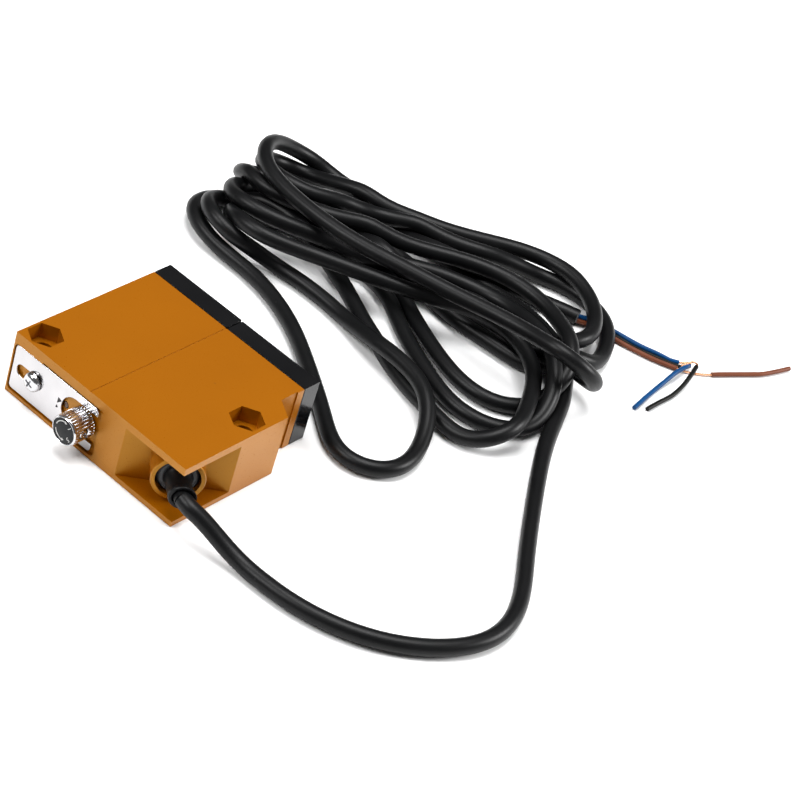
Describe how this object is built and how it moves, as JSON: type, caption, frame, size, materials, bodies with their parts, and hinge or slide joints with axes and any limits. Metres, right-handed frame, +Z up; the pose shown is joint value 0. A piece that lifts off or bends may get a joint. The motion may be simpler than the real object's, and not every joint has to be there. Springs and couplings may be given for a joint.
{
  "type": "photoelectric sensor",
  "caption": "Rectangular orange photoelectric sensor with black lens windows, a knurled setting knob beside a sliding lock plate, and a long cable ending in bare cores.",
  "frame": {"origin": "centre of the base of the sensor's bounding box without its cable, on the surface that it lies on", "axes": "+X along the rear face towards the cable corner, +Y from the rear face with the knob towards the lens windows, +Z up from the large face that it lies on"},
  "size_m": [0.168, 0.2012, 0.018],
  "materials": {
    "orange_plastic": "satin, fine moulded grain",
    "black_window": "glossy, lets infrared through",
    "clear_lens": "clear, polished",
    "black_plastic": "matte",
    "board": "green solder mask",
    "steel": "smooth stainless steel",
    "white_plastic": "matte",
    "brass": "turned",
    "chrome": "polished plating",
    "grey_plastic": "matte dark grey",
    "black_rubber": "satin PVC jacket",
    "blue_insulation": "satin",
    "brown_insulation": "satin",
    "black_insulation": "satin",
    "copper": "bare copper strands"
  },
  "bodies": {
    "body": {"housing": "orange_plastic", "window_emitter": "black_window", "window_receiver": "black_window", "lens_emitter": "clear_lens", "lens_receiver": "clear_lens", "optics_carrier": "black_plastic", "emitter_lamp": "clear_lens", "photodiode": "black_plastic", "circuit_board": "board", "controller_chip": "black_plastic", "driver_chip": "black_plastic", "capacitor": "steel", "potentiometer": "black_plastic", "terminal_block": "white_plastic", "status_lamp": "clear_lens", "light_pipe": "clear_lens", "cable_gland": "grey_plastic", "strain_relief": "black_rubber", "cable_lead": "black_rubber", "cable_hank": "black_rubber", "core_blue": "blue_insulation", "wire_blue": "copper", "core_end_blue": "blue_insulation", "core_brown": "brown_insulation", "wire_brown": "copper", "core_end_brown": "brown_insulation", "core_black": "black_insulation", "wire_black": "copper", "core_end_black": "black_insulation"},
    "knob": {"knob": "chrome", "knob_dial": "black_plastic", "knob_set_screw": "steel", "potentiometer_shaft": "brass"},
    "lock_plate": {"lock_plate": "steel"},
    "lock_screw": {"lock_screw": "chrome"}
  },
  "joints": [
    {"name": "knob_turn", "type": "hinge", "parent": "body", "child": "knob", "pos_m": [-0.0036, -0.026, 0.0082], "axis": [0, -1, 0], "range_deg": [-135, 135]},
    {"name": "lock_slide", "type": "slide", "parent": "body", "child": "lock_plate", "axis": [1, 0, 0], "range_m": [0, 0.0012]},
    {"name": "lock_screw_turn", "type": "hinge", "parent": "body", "child": "lock_screw", "pos_m": [-0.0208, -0.0232, 0.0082], "axis": [0, -1, 0], "continuous": true}
  ]
}
